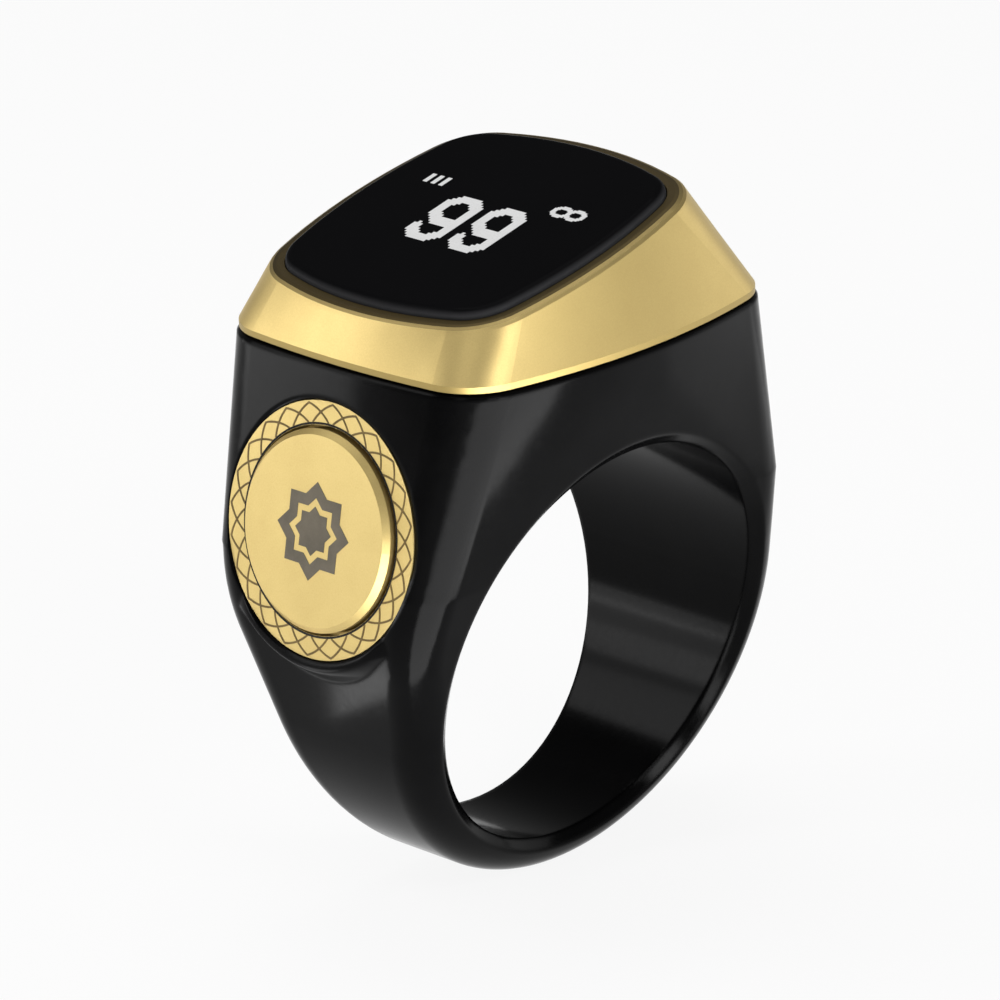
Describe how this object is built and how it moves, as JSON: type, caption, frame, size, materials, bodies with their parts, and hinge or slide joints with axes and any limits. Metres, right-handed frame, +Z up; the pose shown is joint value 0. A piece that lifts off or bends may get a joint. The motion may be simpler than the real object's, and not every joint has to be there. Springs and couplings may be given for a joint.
{
  "type": "digital tasbih counter",
  "caption": "Finger-ring digital tasbih counter: black moulded body, gold wedge bezel with a tilted display and a round sprung push button on the flank.",
  "frame": {"origin": "centre of the finger hole, on its axis, midway between the two side faces", "axes": "+Y along the finger hole, +Z up through the head to the display, -X towards the push button"},
  "size_m": [0.0259, 0.0188, 0.0334],
  "materials": {
    "body_black": "polished black moulding",
    "gold_satin": "satin gold anodised, fine grain",
    "lens_black": "black-backed cover glass, polished",
    "seal_black": "black bonding film and silicone",
    "bond_clear": "clear optical bond",
    "panel_dark": "dark panel glass",
    "flex_amber": "polyimide strip",
    "part_cream": "moulded or ceramic part",
    "board_green": "solder-mask green laminate",
    "chip_black": "black moulded package",
    "steel_plain": "plain stamped steel",
    "rotor_brass": "heavy metal weight",
    "cell_foil": "laminate foil pouch",
    "lead_red": "insulated wire",
    "pin_brass": "gold-plated pin"
  },
  "bodies": {
    "counter_body": {"ring_body": "body_black", "bezel_frame": "gold_satin", "bezel_gasket": "seal_black", "display_lens": "lens_black", "lens_gasket": "seal_black", "optical_adhesive": "bond_clear", "oled_panel": "panel_dark", "display_flex": "flex_amber", "display_connector": "part_cream", "main_board": "board_green", "processor_chip": "chip_black", "power_chip": "chip_black", "clock_crystal": "steel_plain", "chip_antenna": "part_cream", "board_passives": "part_cream", "motor_tape": "seal_black", "motor_case": "steel_plain", "motor_cover": "steel_plain", "motor_shaft": "steel_plain", "battery_cell": "cell_foil", "battery_tape": "seal_black", "battery_leads": "lead_red", "charge_pins": "pin_brass", "charge_flex": "flex_amber", "button_trim_ring": "gold_satin", "trim_adhesive": "seal_black", "button_seal": "seal_black", "switch_cover": "steel_plain", "switch_base": "chip_black", "switch_board": "board_green", "switch_flex": "flex_amber"},
    "push_button": {"button_cap": "gold_satin"},
    "plunger": {"switch_plunger": "part_cream"},
    "rotor": {"motor_rotor": "rotor_brass"}
  },
  "joints": [
    {"name": "button_press", "type": "slide", "parent": "counter_body", "child": "push_button", "axis": [0.9799, 0, -0.1994], "range_m": [0, 0.00025], "stiffness_N_per_m": 4000},
    {"name": "plunger_press", "type": "slide", "parent": "counter_body", "child": "plunger", "axis": [0.9799, 0, -0.1994], "range_m": [0, 0.00025]},
    {"name": "motor_spin", "type": "hinge", "parent": "counter_body", "child": "rotor", "pos_m": [0.0025, 0, 0.01579], "axis": [0, 0, 1], "continuous": true}
  ],
  "couplings": [
    {"joint": "plunger_press", "follows": "button_press", "ratio": 1}
  ]
}
